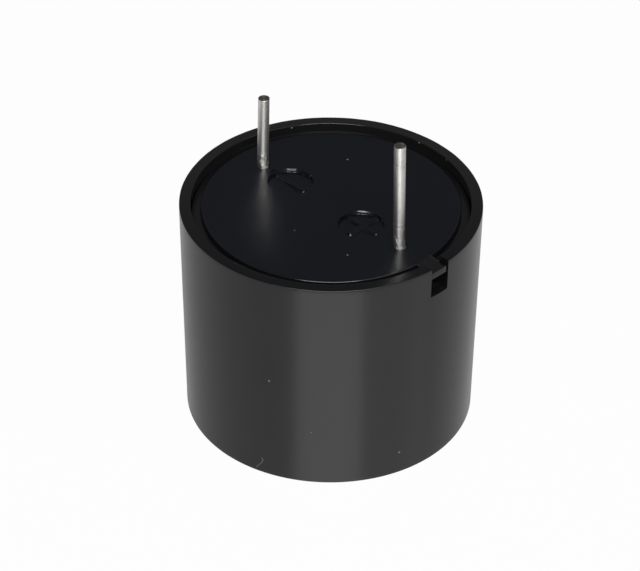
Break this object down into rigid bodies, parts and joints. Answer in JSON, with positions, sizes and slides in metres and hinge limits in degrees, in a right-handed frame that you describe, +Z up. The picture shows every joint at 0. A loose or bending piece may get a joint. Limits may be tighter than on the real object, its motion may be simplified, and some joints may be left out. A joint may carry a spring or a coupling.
{
  "type": "piezo siren",
  "caption": "Round black piezo siren in a moulded can with a sound hole, a keyed cover and unequal wire pins for soldering into a circuit board.",
  "frame": {"origin": "centre of the sound face, which the siren rests on", "axes": "+Z up the can's axis, out of the pin side; +X from the axis towards the positive pin and the key; +Y completes the right-handed frame"},
  "size_m": [0.0234, 0.0234, 0.0276],
  "materials": {
    "housing_plastic": "satin moulded black",
    "cover_plastic": "glossy moulded black",
    "tinned_wire": "bright tinned, drawn",
    "phenolic_board": "bare phenolic paper board",
    "solder": "bright solder",
    "ferrite": "sintered dark grey",
    "enamelled_copper": "enamelled wire",
    "component_plastic": "moulded epoxy",
    "capacitor_coating": "dipped",
    "resistor_coating": "lacquered",
    "brass_plate": "rolled brass",
    "piezo_ceramic": "silvered ceramic",
    "silicone": "cured silicone",
    "black_insulation": "soft insulation",
    "red_insulation": "soft insulation",
    "blue_insulation": "soft insulation"
  },
  "bodies": {
    "root": {"housing": "housing_plastic", "base_cover": "cover_plastic", "pin_positive": "tinned_wire", "pin_negative": "tinned_wire", "circuit_board": "phenolic_board", "board_solder": "solder", "coil_core": "ferrite", "coil_winding": "enamelled_copper", "coil_leads": "tinned_wire", "transistor_body": "component_plastic", "transistor_leads": "tinned_wire", "diode_body": "component_plastic", "diode_leads": "tinned_wire", "capacitor_body": "capacitor_coating", "capacitor_leads": "tinned_wire", "resistor_base_body": "resistor_coating", "resistor_base_leads": "tinned_wire", "resistor_drive_body": "resistor_coating", "resistor_drive_leads": "tinned_wire", "resistor_feedback_body": "resistor_coating", "resistor_feedback_leads": "tinned_wire", "piezo_plate": "brass_plate", "piezo_ceramic": "piezo_ceramic", "sealant_ring": "silicone", "piezo_solder": "solder", "lead_plate": "black_insulation", "lead_ceramic": "red_insulation", "lead_feedback": "blue_insulation"}
  },
  "joints": []
}
